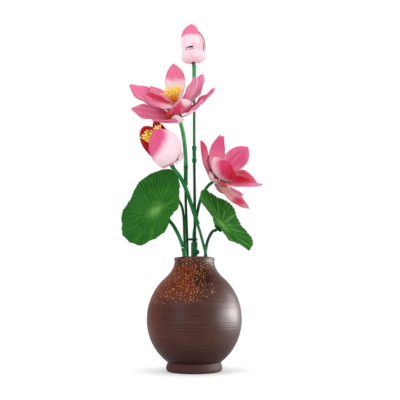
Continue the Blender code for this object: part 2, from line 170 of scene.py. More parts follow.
socketKinds = {int: "NodeSocketInt", float: "NodeSocketFloat", type(None): "NodeSocketMaterial"}


def newShapeTree(name, sizes):
    # a tree with these named inputs; its input geometry is in "shape" and its material in "finish"
    tree = bpy.data.node_groups.new(name, "GeometryNodeTree")
    for way in ("INPUT", "OUTPUT"):
        tree.interface.new_socket("shape", in_out=way, socket_type="NodeSocketGeometry")
    for label, size in {**sizes, "finish": None}.items():
        socket = tree.interface.new_socket(label, in_out="INPUT", socket_type=socketKinds[type(size)])
        if size is not None:
            socket.default_value = size
    source = tree.nodes.new("NodeGroupInput")
    return tree, {label: Field(tree, source.outputs[label]) for label in ("shape", *sizes, "finish")}


def joined(*geometries):
    tree = treeOf(*geometries)
    node = tree.nodes.new("GeometryNodeJoinGeometry")
    for geometry in geometries:
        plug(tree, node.inputs[0], geometry)
    return Field(tree, node.outputs[0])


def endTree(tree, geometry, finish):
    smooth = geo(tree, "SetShadeSmooth", {0: geometry})
    real = geo(tree, "RealizeInstances", {0: smooth})
    done = geo(tree, "SetMaterial", {"Geometry": real, "Material": finish})
    plug(tree, tree.nodes.new("NodeGroupOutput").inputs[0], done)
    return tree


def stored(geometry, label, value, kind="FLOAT", domain="POINT"):
    return geo(geometry.tree, "StoreNamedAttribute",
               {"Geometry": geometry, "Name": label, "Value": value}, data_type=kind, domain=domain)


def remembered(tree, label, kind="FLOAT"):
    return geo(tree, "InputNamedAttribute", {"Name": label}, data_type=kind)


def moved(geometry, place):
    return geo(geometry.tree, "SetPosition", {"Geometry": geometry, "Position": place})


def welded(geometry, gap):
    return geo(geometry.tree, "MergeByDistance", {"Geometry": geometry, "Distance": gap * mm})


def bowed(steps, start, middle, end):
    return geo(middle.tree, "CurveQuadraticBezier",
               {"Resolution": steps, "Start": start, "Middle": middle, "End": end})


def roundTube(path, sides, radius):
    circle = geo(path.tree, "CurvePrimitiveCircle", {"Resolution": sides, "Radius": radius})
    return geo(path.tree, "CurveToMesh", {"Curve": path, "Profile Curve": circle, "Fill Caps": True})


def chance(number, low, high, seed):
    return made(number.tree, "FunctionNodeRandomValue", {2: low, 3: high, "ID": number, "Seed": seed},
                output=1, data_type="FLOAT")


def shown(name, data):
    item = bpy.data.objects.new(name, data)
    scene.collection.objects.link(item)
    return item


def plainMesh(item):
    # what an object looks like with its modifiers, as a mesh, and the object gone
    graph = bpy.context.evaluated_depsgraph_get()
    mesh = bpy.data.meshes.new_from_object(item.evaluated_get(graph), preserve_all_data_layers=True,
                                           depsgraph=graph)
    item.modifiers.clear()
    bpy.data.objects.remove(item, do_unlink=True)
    return mesh


def grow(name, tree, sizes, data=None):
    # what a tree makes of these sizes
    seed = shown(name + ".seed", data or bpy.data.meshes.new(name))
    modifier = seed.modifiers.new("shape", "NODES")
    modifier.node_group = tree
    for socket in tree.interface.items_tree:
        if socket.in_out == "INPUT" and socket.name in sizes:
            modifier[socket.identifier] = sizes[socket.name]
    mesh = plainMesh(seed)
    mesh.name = name
    return mesh


def addPiece(name, mesh, slotName, *nodes, sharp=None):
    if sharp is not None:
        mesh.set_sharp_from_angle(angle=math.radians(sharp))
    piece = shown(name, mesh)
    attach(piece, "root")
    if nodes:
        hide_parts(*nodes)


def finished(builder, name, finish=None, weld=False):
    if weld:
        bmesh.ops.remove_doubles(builder, verts=builder.verts, dist=weldGap * mm)
    mesh = bpy.data.meshes.new(name)
    builder.to_mesh(mesh)
    builder.free()
    mesh.shade_smooth()
    if finish:
        mesh.materials.append(finish)
    return mesh


def merged(name, meshes, finish, weld=False):
    # several closed meshes as one
    builder = bmesh.new()
    for mesh in meshes:
        builder.from_mesh(mesh)
    return finished(builder, name, finish, weld)


def latheMesh(name, profile, sides, matrix=Matrix(), finish=None):
    # a solid turned from (radius, height) points that start and end on the axis, bottom first
    builder = bmesh.new()
    rings = []
    for radius, height in profile:
        turns = [fullTurn * k / sides for k in range(sides if radius > 0 else 1)]
        rings.append([builder.verts.new((radius * math.cos(t) * mm, radius * math.sin(t) * mm, height * mm))
                      for t in turns])
    for low, high in zip(rings, rings[1:]):
        for k in range(sides):
            after = (k + 1) % sides
            corners = (low[k % len(low)], low[after % len(low)], high[after % len(high)], high[k % len(high)])
            builder.faces.new(list(dict.fromkeys(corners)))
    mesh = finished(builder, name, finish)
    mesh.transform(matrix)
    return mesh


def standing(start, direction):
    # the matrix that stands a piece made about +Z on a point, looking along a direction
    turn = Vector(direction).to_track_quat("Z", "Y").to_matrix().to_4x4()
    return Matrix.Translation(Vector(start) * mm) @ turn


def axesAlong(direction):
    up = Vector(direction).normalized()
    right = (Vector((1, 0, 0)) - up.x * up).normalized()
    return right, up.cross(right), up


def axesMatrix(x, y, z, place):
    matrix = Matrix((x, y, z)).transposed().to_4x4()
    matrix.translation = Vector(place) * mm
    return matrix


def rodBetween(start, end, radius, sides=24, soft=0.3):
    # a cylinder with rounded edges
    start, end = Vector(start), Vector(end)
    length = (end - start).length
    turns = [quarterTurn * step / 3 for step in range(4)]
    low = [(radius - soft * (1 - math.sin(t)), soft * (1 - math.cos(t))) for t in turns]
    high = [(radius - soft * (1 - math.cos(t)), length - soft * (1 - math.sin(t))) for t in turns]
    return latheMesh("rod", [(0, 0), *low, *high, (0, length)], sides, standing(start, end - start))


def between(a, b, c, d, t):
    # a smooth way from b to c for t of 0 to 1, with a before and d after
    return 0.5 * (2 * b + (c - a) * t + (2 * a - 5 * b + 4 * c - d) * t * t
                  + (3 * b - a - 3 * c + d) * t ** 3)


def smoothPath(points, steps):
    # points on a smooth curve through the way points
    knots = [Vector(p) for p in points]
    knots = [2 * knots[0] - knots[1]] + knots + [2 * knots[-1] - knots[-2]]
    path = [between(*four, step / steps) for four in zip(knots, knots[1:], knots[2:], knots[3:])
            for step in range(steps)]
    return path + [knots[-2]]


def addSpline(curve, points, closed=False):
    spline = curve.splines.new("POLY")
    spline.points.add(len(points) - 1)
    spline.use_cyclic_u = closed
    for knot, place in zip(spline.points, points):
        knot.co = (*(Vector(place) * mm), 1.0)


def pathCurve(name, points):
    curve = bpy.data.curves.new(name, "CURVE")
    curve.dimensions = "3D"
    addSpline(curve, points)
    return curve


# Light, floor and camera

studio = {
    "world": 1.0,
    "floorRadius": 6.0,                 # metres, as all places here
    "camera": (0.0062, -0.620, 0.0698), "tilt": 10.7, "lens": 50, "sensor": 36,
    "lights": {                         # place, what it looks at, width, height, watts
        "keyLight": ((-0.75, -0.95, 1.05), (0, 0, 0.25), 0.6, 0.6, 3.5),
        "sideLight": ((1.3, -0.7, 0.6), (0, 0, 0.2), 0.5, 0.5, 4.0),
        "rightBox": ((1.05, 0.0, 0.1), (0, 0, 0.06), 0.8, 0.4, 66.0),
        "rearBox": ((0.96, 0.43, 0.2), (0, 0, 0.08), 0.36, 0.7, 16.0),
        "leftStrip": ((-0.62, -0.85, 0.22), (0, 0, 0.07), 0.22, 0.6, 3.0),
    },
    "onlyReflected": ("rightBox", "rearBox", "leftStrip"),
}


def buildStudio():
    world = bpy.data.worlds.new("softRoom")
    scene.world = world
    world.use_nodes = True
    sky = world.node_tree.nodes["Background"]
    sky.inputs["Color"].default_value = (1, 1, 1, 1)
    sky.inputs["Strength"].default_value = studio["world"]
    for name, (place, target, width, height, power) in studio["lights"].items():
        light = bpy.data.lights.new(name, "AREA")
        light.shape = "RECTANGLE"
        light.size = width
        light.size_y = height
        light.energy = power
        lamp = shown(name, light)
        lamp.location = place
        lamp.rotation_euler = (Vector(place) - Vector(target)).to_track_quat("Z", "Y").to_euler()
        lamp.visible_camera = False
        lamp.visible_diffuse = name not in studio["onlyReflected"]

    finish, shader, spot = newFinish("paleFloor", Roughness=0.9, Specular_IOR_Level=0.1,
                                     Emission_Color=(1, 1, 1, 1), Emission_Strength=0.13)
    dress(shader, mixed(cloud(spot, 60), paint(252, 252, 252), paint(255, 255, 255)))
    builder = bmesh.new()
    bmesh.ops.create_circle(builder, cap_ends=True, segments=96, radius=studio["floorRadius"])
    floor = shown("floor", finished(builder, "floor", finish))

    lens = bpy.data.cameras.new("camera")
    lens.lens = studio["lens"]
    lens.sensor_width = studio["sensor"]
    lens.clip_start = 0.01
    camera = shown("camera", lens)
    camera.location = studio["camera"]
    camera.rotation_euler = (math.radians(90 + studio["tilt"]), 0, 0)
    scene.camera = camera
    scene.view_settings.view_transform = "Standard"


# Stoneware vase

vase = {
    "height": 121.2, "bellyRadius": 51.8, "bellyHeight": 55.0, "bellyRise": 56.5, "bellyDrop": 54.5,
    "neckRadius": 22.0, "neckHeight": 116.5, "lipRadius": 22.6, "shoulderHeight": 99.2,
    "footRadius": 30.2, "footHeight": 9.2, "wall": 4.4, "neckWall": 2.6, "floor": 9.0,
    "turning": {"sides": 192, "ridgeSpacing": 2.4, "ridgeDepth": 0.09, "ridgeStart": 12.0, "ridgeEnd": 92.0},
    "body": paint(40, 15, 11), "bodyLight": paint(88, 54, 47), "ironRedAndReflection": paint(96, 29, 8),
    "maroon": paint(52, 10, 7), "gold": paint(255, 214, 130), "amber": paint(246, 142, 62),
    "foot": paint(70, 42, 38), "speckleScale": 1000.0,
}


def arcPoints(radii, start, end, count, middle=vase["bellyHeight"]):
    # points on an ellipse round the axis, (radius, height), between two angles in degrees
    angles = [math.radians(start + (end - start) * k / count) for k in range(count + 1)]
    return [(radii[0] * math.cos(a), middle + radii[1] * math.sin(a)) for a in angles]


def bendPoints(start, corner, end, count):
    steps = [step / count for step in range(1, count)]
    return [tuple((1 - t) ** 2 * a + 2 * t * (1 - t) * b + t * t * c for a, b, c in zip(start, corner, end))
            for t in steps]


def roundedPoints(points, steps):
    return [(p.x, p.y) for p in smoothPath([(r, z, 0) for r, z in points], steps)]


def vaseProfile():
    # (radius, height, ridge strength) from the middle of the bottom up the outside and down the inside
    v = vase
    foot, high, top, wall = v["footRadius"], v["footHeight"], v["height"], v["wall"]

    def belly(low, shoulder, inset, lowSteps, highSteps):
        # the lower and the upper part of the belly, both from the bottom up
        width, drop, rise = v["bellyRadius"] - inset, v["bellyDrop"] - inset, v["bellyRise"] - inset
        lowAngle = math.degrees(math.asin((low - v["bellyHeight"]) / drop))
        highAngle = math.degrees(math.asin((shoulder - v["bellyHeight"]) / rise))
        return (arcPoints((width, drop), lowAngle, 0, lowSteps),
                arcPoints((width, rise), 0, highAngle, highSteps))

    lower, upper = belly(high + 1.2, v["shoulderHeight"], 0, 74, 56)
    innerLower, innerUpper = belly(v["floor"], v["shoulderHeight"] - 2, wall, 20, 18)
    rim = [(foot - 2.8, 0), (foot - 1.6, 0.5), (foot - 0.4, 1.8), (foot, 0.5 * high),
           (foot - 0.8, high - 1.8), (foot - 1.4, high), lower[0]]
    neck = (v["neckRadius"], v["neckHeight"])
    throat = v["neckRadius"] - v["neckWall"]
    lip = [neck, (v["lipRadius"] - 0.3, top - 2.4), (v["lipRadius"], top - 0.9), (v["lipRadius"] - 0.8, top),
           (throat + 1.4, top), (throat + 0.4, top - 0.8), (throat, v["neckHeight"])]
    outside = [(0, 0), (0.5 * foot, 0)] + roundedPoints(rim, 5)[:-1] + lower + upper[1:]
    outside += bendPoints(upper[-1], (v["neckRadius"] + 1.4, 107), neck, 22)
    inside = bendPoints((throat, v["neckHeight"]), (throat + 1.0, 107), innerUpper[-1], 8)
    inside += innerUpper[::-1] + innerLower[-2::-1] + [(0.5 * innerLower[0][0], v["floor"]), (0, v["floor"])]
    return [(r, z, 1.0) for r, z in outside] + [(r, z, 0.0) for r, z in roundedPoints(lip, 4) + inside]


def buildVaseTree():
    # the input is a curve whose points hold radius, ridge strength and height
    tree, ask = newShapeTree("thrownVase", vase["turning"])
    count = geo(tree, "AttributeDomainSize", {0: ask["shape"]}, component="CURVE")
    grid = geo(tree, "MeshGrid", {0: 1.0, 1: 1.0, 2: ask["sides"] + 1, 3: count})
    place = geo(tree, "InputPosition")
    x, y, _ = split(place)
    index = made(tree, "FunctionNodeFloatToInt", {0: (y + 0.5) * (count - 1)}, rounding_mode="ROUND")
    radius, strength, height = split(geo(tree, "SampleIndex", {
        "Geometry": ask["shape"], "Value": place, "Index": index}, data_type="FLOAT_VECTOR"))
    turn = (x + 0.5) * fullTurn
    level = height / mm
    waver = cloud(combine(cosine(turn) * 0.35, sine(turn) * 0.35, level * 0.06), 1.0)
    grain = cloud(combine(cosine(turn) * 0.5, sine(turn) * 0.5, level * 0.55), 1.0, 3.0)
    wave = sine(level * fullTurn / ask["ridgeSpacing"] + waver * 5 + turn)
    reach = ramp(level, ask["ridgeStart"], ask["ridgeStart"] + 14) * ramp(
        level, ask["ridgeEnd"] - 18, ask["ridgeEnd"], 1.0, 0.15)
    radius = radius + strength * reach * (wave * 0.5 + (grain - 0.5) * 2.2) * ask["ridgeDepth"]
    shaped = moved(grid, combine(radius * cosine(turn), radius * sine(turn), height))
    return endTree(tree, welded(shaped, 2 * weldGap), ask["finish"])


def glazeFinish():
    finish, shader, spot = newFinish("brownGlaze", IOR=1.22)
    x, y, z = split(spot)
    aside, level = x / mm, z / mm
    mottle = cloud(spot, 42, 4.0, 0.6)
    fine = cloud(spot, 420, 3.0)
    rings = cloud(combine(x * 6, y * 6, level * 1.7), 1.0, 3.0, 0.6)        # drawn out into rings
    ringShare = ramp(rings, 0.36, 0.66)
    # a painted red reflection down the left side, and iron red on the shoulder
    left = ramp(aside + mottle * 20, -12, -40)
    shoulder = ramp(level + mottle * 22, 80, 96) * ramp(level, 116, 109)
    front = ramp(aside + mottle * 16 - 8, 10, -6)
    away = ((aside - 9) ** 2 / 120 + (level - 98) ** 2 / 190) ** 0.5
    # gold speckles where the iron glaze broke
    cells = addNode(spot.tree, "ShaderNodeTexVoronoi", {"Vector": spot, "Scale": vase["speckleScale"]})
    luck = split(Field(spot.tree, cells.outputs["Color"]))[0]
    zone = ramp(level + mottle * 26, 80, 94) * ramp(aside + mottle * 30 - 15, 26, 4)
    dots = ramp(Field(spot.tree, cells.outputs["Distance"]), 0.34, 0.26) * calc(
        "GREATER_THAN", luck + zone * 0.26, 0.9) * ramp(zone, 0.0, 0.3)
    speckle = mixed(calc("FRACT", luck * 9), vase["gold"], vase["amber"])
    colour = layered(
        vase["body"], {**vase, "speckle": speckle},
        (ringShare * 0.5 + 0.25, "bodyLight"),
        (ramp(mottle, 0.35, 0.75) * 0.45, "maroon"),
        (ramp(level + mottle * 14, 44, 20) * 0.85, "body"),
        # painted red reflection on the left side
        (left * (0.45 + ringShare * 0.4) * ramp(level, 25, 45), "ironRedAndReflection"),
        (shoulder * (front * 0.75 + 0.15), "ironRedAndReflection"),
        (ramp(away + mottle * 0.7, 1.5, 0.9) * ramp(y, 0.0, -0.01), "maroon"),
        (dots, "speckle"),
        (ramp(level, 10.2, 8.6), "foot"),
        (ramp(fine, 0.55, 0.8) * 0.2, "bodyLight"))
    dress(shader, colour, ramp(mottle, 0.3, 0.8, 0.4, 0.52) + ramp(level, 10, 8, 0.0, 0.25),
          fine + dots * 0.6, 0.25, 0.12)
    return finish


def buildVase():
    profile = pathCurve("vaseProfile", [(r, s, z) for r, z, s in vaseProfile()])
    mesh = grow("glazed_vase", buildVaseTree(), {"finish": glazeFinish()}, profile)
    addPiece("glazed_vase", mesh, "stoneware", "vase")
    print("vase:", len(mesh.polygons), "faces")


# Stems, couplings and clips

stems = {
    "tube": {"radius": 2.3, "step": 1.5, "sides": 24, "collar": 0.22, "collarLength": 2.4},
    "noCollar": -0.4,                   # this far inside the tube it isn't seen
    # one green plastic: the darkest tone is painted shade for stems low down and behind the leaves, and the
    # two palest tones are painted light on the top tubes
    "green": paint(4, 100, 42), "shadedGreen": paint(2, 74, 32), "lightGreen": paint(52, 150, 78),
    "litGreen": paint(40, 138, 66), "litPaleGreen": paint(112, 196, 120),
    # radius, collars at the ends, finish and the way from the top down
    "ways": {
        "bud_stem_tube": (2.3, True, "light", [(-0.8, 2, 350.6), (-0.7, 2, 316)]),
        "bud_stem_rod": (1.5, False, "mid", [(-0.7, 2, 315.7), (-0.5, 3.2, 252.2)]),
        "bud_stem_lower_rod": (1.6, False, "deep", [(-0.4, 3.4, 230.9), (0.1, 5, 190), (0.5, 6, 140.3)]),
        "open_stem_tube": (2.3, True, "light", [
            (-16.5, -3.8, 278.5), (-14.9, 0.2, 272.8), (-13.0, 2.4, 263.5), (-11.4, 2, 250),
            (-10.5, 0.8, 238), (-10.1, 0, 226)]),
        "open_stem_sleeve": (2.3, True, "mid", [(-10.1, 0, 225.7), (-10.1, 0.4, 204.5)]),
        "open_stem_rod": (1.5, False, "deep", [
            (-10.1, 0.4, 204.2), (-10.0, 1.6, 185), (-8.6, 3, 150), (-7.8, 4.5, 121), (-8, 6, 100),
            (-9.5, 12, 10.2)]),
        "half_open_stem_tube": (2.3, True, "mid", [
            (-25.6, -13.8, 223.9), (-22.6, -11.8, 219.2), (-18.4, -10.4, 214.4), (-14.6, -10, 208.6),
            (-10, -10, 198.8), (-4.8, -9.6, 184), (0.3, -9.2, 168.5), (3.6, -8.8, 157.8)]),
        "half_open_stem_rod": (1.5, False, "mid", [
            (3.7, -8.6, 157.5), (7.4, -8.4, 145), (13.4, -7, 121), (15.4, -6.4, 100), (15, -5, 10.2)]),
        "side_stem": (1.8, False, "mid", [
            (21.0, 2.4, 208.5), (16.6, 5.2, 205.6), (12.2, 10, 201.0), (8.2, 13.6, 193.6), (5.0, 14.4, 184),
            (3.0, 14.2, 174), (1.0, 13.4, 162), (-0.6, 12.4, 151), (-0.9, 11.6, 140.4)]),
        "socket_spike": (2.3, False, "deep", [(0, 8.4, 112.7), (3, 14, 10.2)]),
        "left_leaf_socket": (2.5, True, "mid", [
            (-11.9, -8.7, 131.4), (-10.4, -9, 120), (-10.8, -9.4, 100), (-11, -10, 10.2)]),
        "left_leaf_brace": (1.5, False, "deep", [
            (-27, 5, 197), (-22, 2.5, 192.5), (-17.4, -0.5, 185.5), (-14.1, -2.8, 178.5),
            (-12.4, -3.8, 169.5), (-11.6, -3.8, 159), (-11.2, -3.6, 146), (-10.2, -3, 121), (-11, -3, 100),
            (-15, -2, 10.2)]),
        "left_leaf_stalk": (2.0, False, "mid", [
            (-32, 0.5, 166), (-25.2, -2, 159.5), (-19.1, -6, 149.0), (-14.9, -8, 139.4),
            (-12.4, -8.6, 132.6)]),
        "right_leaf_stalk": (1.7, False, "deep", [
            (21, 1.2, 151.8), (17.1, 2.4, 146.2), (14.3, 2, 138.7), (12.9, 2.2, 131), (12.2, 2.4, 121),
            (13, 3.4, 100), (15, 7, 10.2)]),
    },
}


def buildStemTree():
    # a tube along the curve, with a low collar at each end
    tree, ask = newShapeTree("pushTogetherTube", stems["tube"])
    path = geo(tree, "ResampleCurve", {"Curve": ask["shape"], "Length": ask["step"] * mm}, mode="LENGTH")
    whole = geo(tree, "CurveLength", {"Curve": path})
    pieces = [roundTube(path, ask["sides"], ask["radius"] * mm)]
    reach = ask["collarLength"] * mm
    for start, end in ((0.0, reach), (whole - reach, whole)):
        cut = geo(tree, "TrimCurve", {0: path, 4: start, 5: end}, mode="LENGTH")
        pieces.append(roundTube(cut, ask["sides"], (ask["radius"] + ask["collar"]) * mm))
    return endTree(tree, joined(*pieces), ask["finish"])


def stemFinish(name, colour, lighter):
    finish, shader, spot = newFinish(name, IOR=1.19)
    x, y, z = split(spot)
    streaks = cloud(combine(x * 900, y * 900, z * 60), 1.0, 3.0)
    patches = cloud(spot, 55, 2.0)
    dress(shader, mixed(ramp(streaks, 0.4, 0.75) * 0.35 + ramp(patches, 0.45, 0.7) * 0.35, colour, lighter),
          ramp(streaks, 0.3, 0.7, 0.3, 0.46), streaks, 0.25, 0.08)
    return finish


def buildStems():
    tree = buildStemTree()
    finishes = {
        # deep is the green plastic with painted shade, light is the green plastic with painted light
        "deep": stemFinish("shadedGreenPlastic", stems["shadedGreen"], stems["green"]),
        "mid": stemFinish("greenPlastic", stems["green"], stems["lightGreen"]),
        "light": stemFinish("litGreenPlastic", stems["litGreen"], stems["litPaleGreen"]),
    }
    for name, (radius, collars, finish, way) in stems["ways"].items():
        if name.endswith("leaf_stalk"):
            way = [*clipEnds(leaves[name.split("_")[0]]), *way]
        path = smoothPath(way, 8) if len(way) > 2 else way
        mesh = grow(name, tree, {
            "radius": radius, "collar": stems["tube"]["collar"] if collars else stems["noCollar"],
            "finish": finishes[finish]}, pathCurve(name, path))
        addPiece("moulded_" + name, mesh, "stem_plastic", name, sharp=40)
    for name, pieces in couplings().items():
        addPiece("moulded_" + name, merged(name, pieces, finishes["mid"]), "stem_plastic", name)
    buildLink(finishes["deep"])
    for side in ("left", "right"):
        buildClip(side, finishes["deep"])
    print("stems:", len(stems["ways"]), "tubes")


def couplings():
    # beads and short sleeves that join rod to rod
    upper, lower = Vector((-0.5, 3.2, 251.9)), Vector((-0.4, 3.4, 231.2))
    length = (upper - lower).length
    profile = [(0, 0), (1.7, 0.05), (2.0, 0.35), (2.45, 0.7), (2.65, 1.4), (2.65, 4.4), (2.4, 5.2),
               (2.0, 5.8), (1.95, 7.0), (2.1, 8.2), (2.1, 12.4), (1.95, 13.6), (2.0, 14.6), (2.4, 15.2),
               (2.65, 16.0), (2.65, 19.2), (2.45, 20.0), (2.0, 20.35), (1.7, length - 0.05), (0, length)]
    coupling = latheMesh("coupling", profile, 24, standing(lower, upper - lower))
    sleeves = [rodBetween((x, y, 113.0), (x, y, 140.0), 3.1, 32, 0.5) for x, y in ((0.5, 6.2), (-0.9, 10.6))]
    stub = rodBetween((3.0, 6.0, 128.0), (3.0, -0.4, 128.0), 2.6, 28, 0.4)
    eye = rodBetween((3.0, -0.3, 128.0), (3.0, -0.9, 128.0), 1.5, 20, 0.2)
    return {"bud_stem_coupling": [coupling], "stem_socket": [*sleeves, stub, eye]}


link = {"eyes": ((-8.3, 3.3), (0.45, 5.9)), "level": 142.5, "radius": 2.8, "hole": 2.2, "half": 0.8,
        "edge": 0.3}


def buildLink(finish):
    # the flat bar with two eyes
    curve = bpy.data.curves.new("link", "CURVE")
    curve.dimensions = "2D"
    curve.fill_mode = "BOTH"
    curve.extrude = link["half"] * mm
    curve.bevel_depth = link["edge"] * mm
    curve.bevel_resolution = 2
    eyes = [Vector((*eye, 0)) for eye in link["eyes"]]
    along = (eyes[1] - eyes[0]).normalized()
    across = Vector((-along.y, along.x, 0))

    def arc(eye, radius, start, step, count, x, y):
        turns = [math.radians(start + step * k) for k in range(count)]
        return [eye + radius * (x * math.cos(t) + y * math.sin(t)) for t in turns]

    ends = [arc(eye, link["radius"], start, 10, 19, along, across) for eye, start in zip(eyes, (90, -90))]
    addSpline(curve, ends[0] + ends[1], closed=True)
    for eye in eyes:
        addSpline(curve, arc(eye, link["hole"], 0, 12, 30, Vector((1, 0, 0)), Vector((0, 1, 0))), closed=True)
    mesh = merged("link", [plainMesh(shown("link", curve))], finish, weld=True)
    mesh.transform(Matrix.Translation((0, 0, link["level"] * mm)))
    addPiece("moulded_link_clip", mesh, "stem_plastic", "link_clip", sharp=50)


# Leaves

leaves = {
    "rings": 34, "spokes": 264, "thickness": 1.1, "scallop": 0.016, "ribLift": 0.2, "hubDip": 0.9,
    "green": paint(46, 106, 38), "darkGreen": paint(16, 82, 30), "yellowGreen": paint(96, 142, 44),
    "veinGreen": paint(76, 134, 60), "lineGreen": paint(98, 156, 74), "farVein": paint(46, 108, 40),
    "hubGreen": paint(150, 196, 84), "rimGreen": paint(70, 110, 66),
    "left": dict(
        hub=(-43.4, -8, 172.5), normal=(-0.46, -0.79, 0.40), cup=5.0, wave=2.0, folds=7, veins=22, light=0.0,
        reach=(34, 38, 51, 57, 48, 42.6, 42.5, 44.6, 45, 44, 36, 31),
        creases=((228, 2.6, 7.0), (252, 1.9, 6.0), (160, 0.8, 9.0), (80, 0.8, 8.0))),
    # light paints a leaf's whole blade lighter: painted light on the right leaf, which faces the lights
    "right": dict(
        hub=(29.5, -9, 156.7), normal=(0.68, -0.44, 0.58), cup=6.0, wave=2.4, folds=6, veins=20, light=0.4,
        reach=(44, 45, 48, 58, 50, 43, 28, 21, 26, 27, 32, 40),
        creases=((95, 1.6, 7.0), (60, 1.2, 8.0), (20, 1.4, 9.0))),
    "ribs": {"veins": 22, "start": 1.5, "reach": 62.0, "thick": 0.42, "thin": 0.12, "fork": 0.12, "seed": 3},
}
clip = {"radius": 5.6, "depth": 2.2, "pin": 2.2, "pinRadius": 2.3, "gap": 0.3}


def clipFace(shape):
    return Vector(shape["hub"]) - axesAlong(shape["normal"])[2] * (
        0.5 * leaves["thickness"] + clip["gap"] + clip["pin"])


def clipEnds(shape):
    # where the stalk meets the disc, and the point behind it
    normal = axesAlong(shape["normal"])[2]
    back = clipFace(shape) - normal * clip["depth"]
    return back - normal * 2 * clip["gap"], back - normal * 4


def buildClip(side, finish):
    normal = axesAlong(leaves[side]["normal"])[2]
    face = clipFace(leaves[side])
    back = face - normal * clip["depth"]
    disc = rodBetween(back, face, clip["radius"], 40, 0.5)
    pin = rodBetween(face - normal, face + normal * clip["pin"], clip["pinRadius"], 24)
    ring = rodBetween(back - normal * 0.5, back + normal, clip["pinRadius"] + 0.7, 28)
    name = side + "_leaf_clip"
    addPiece("moulded_" + name, merged(name, [disc, pin, ring], finish), "stem_plastic", name)


def leafPoint(shape, turn, share):
    # the middle of the blade in the leaf's own frame, hub at the origin, upper face to +Z
    angle = fullTurn * turn
    ribs = abs(math.sin(0.5 * shape["veins"] * angle))
    place = turn * len(shape["reach"])
    low = int(place)
    four = [shape["reach"][(low + k) % len(shape["reach"])] for k in (-1, 0, 1, 2)]
    reach = between(*four, place - low) * share * (1 - leaves["scallop"] * ribs * share ** 4)
    lift = shape["cup"] * share ** 2 + shape["wave"] * share ** 3 * math.sin(shape["folds"] * angle)
    lift += leaves["ribLift"] * share * (1 - 0.4 * share) * ribs
    lift -= leaves["hubDip"] * math.exp(-(share / 0.07) ** 2)
    for degrees, depth, width in shape["creases"]:
        aside = (math.degrees(angle) - degrees + 180) % 360 - 180
        lift -= depth * math.exp(-(aside / width) ** 2) * share ** 1.5
    return Vector((reach * math.cos(angle), reach * math.sin(angle), lift))


def bladeMesh(name, shape, finish):
    rings, spokes = leaves["rings"], leaves["spokes"]
    builder = bmesh.new()
    chart = builder.loops.layers.uv.new("leafMap")
    for side in (1, -1):
        rows = []
        for ring in range(rings + 1):
            share = (ring / rings) ** 0.85
            wall = side * 0.5 * leaves["thickness"] * (1 - 0.35 * share) * (1 - share ** 28) ** 0.5
            row = [builder.verts.new((leafPoint(shape, spoke / spokes, share) + Vector((0, 0, wall))) * mm)
                   for spoke in range(spokes if ring else 1)]
            rows.append((share, row if ring else row * spokes))
        for spoke in range(spokes):
            after = (spoke + 1) % spokes
            here, there = spoke / spokes, (spoke + 1) / spokes
            for (low, inner), (high, outer) in zip(rows, rows[1:]):
                corners = [(inner[spoke], (here, low)), (outer[spoke], (here, high)),
                           (outer[after], (there, high)), (inner[after], (there, low))]
                corners = corners[:4 if low else 3][::side]
                face = builder.faces.new([vertex for vertex, _ in corners])
                for loop, (_, point) in zip(face.loops, corners):
                    loop[chart].uv = point
    return finished(builder, name, finish, weld=True)


def buildVeinTree():
    # forked veins in the leaf's plane, dropped on the blade along -Z and made round
    tree, ask = newShapeTree("leafVeins", leaves["ribs"])
    number = geo(tree, "InputIndex")
    arms = []
    for begin, aside in ((0.0, 0.0), (0.34, 1.0), (0.34, -1.0), (0.62, 0.55), (0.62, -0.55)):
        first = ask["start"] + (ask["reach"] - ask["start"]) * begin
        bend = ask["reach"] * ask["fork"] * aside
        arms.append(bowed(36, combine(first * mm, 0.0, 0.0),
                          combine((first * 0.5 + ask["reach"] * 0.5) * mm, bend * (0.55 * mm), 0.0),
                          combine(ask["reach"] * mm, bend * mm, 0.0)))
    turn = number * fullTurn / ask["veins"] + chance(number, -0.05, 0.05, ask["seed"])
    rosette = geo(tree, "InstanceOnPoints", {
        "Points": geo(tree, "Points", {"Count": ask["veins"]}), "Instance": joined(*arms),
        "Rotation": combine(0.0, 0.0, turn)})
    flat = geo(tree, "RealizeInstances", {0: rosette})
    place = geo(tree, "InputPosition")
    above = made(tree, "ShaderNodeVectorMath", {0: place, 1: (0, 0, 0.04)}, operation="ADD")
    cast = addNode(tree, "GeometryNodeRaycast", {"Target Geometry": ask["shape"], "Source Position": above,
                                                 "Ray Direction": (0, 0, -1), "Ray Length": 0.08})
    kept = stored(flat, "landed", Field(tree, cast.outputs["Is Hit"]), "BOOLEAN")
    laid = moved(kept, Field(tree, cast.outputs["Hit Position"]))
    landed = remembered(tree, "landed", "BOOLEAN")
    missed = made(tree, "FunctionNodeBooleanMath", {0: landed}, operation="NOT")
    trimmed = geo(tree, "DeleteGeometry", {"Geometry": laid, "Selection": missed}, domain="POINT")
    away = made(tree, "ShaderNodeVectorMath", {0: place}, output=1, operation="LENGTH") / mm
    near = ramp(away, ask["start"], ask["reach"] * 0.75, 1.0, 0.0)
    size = near * (ask["thick"] - ask["thin"]) + ask["thin"]
    sized = geo(tree, "SetCurveRadius", {"Curve": trimmed, "Radius": size})
    return endTree(tree, roundTube(sized, 6, mm), ask["finish"])


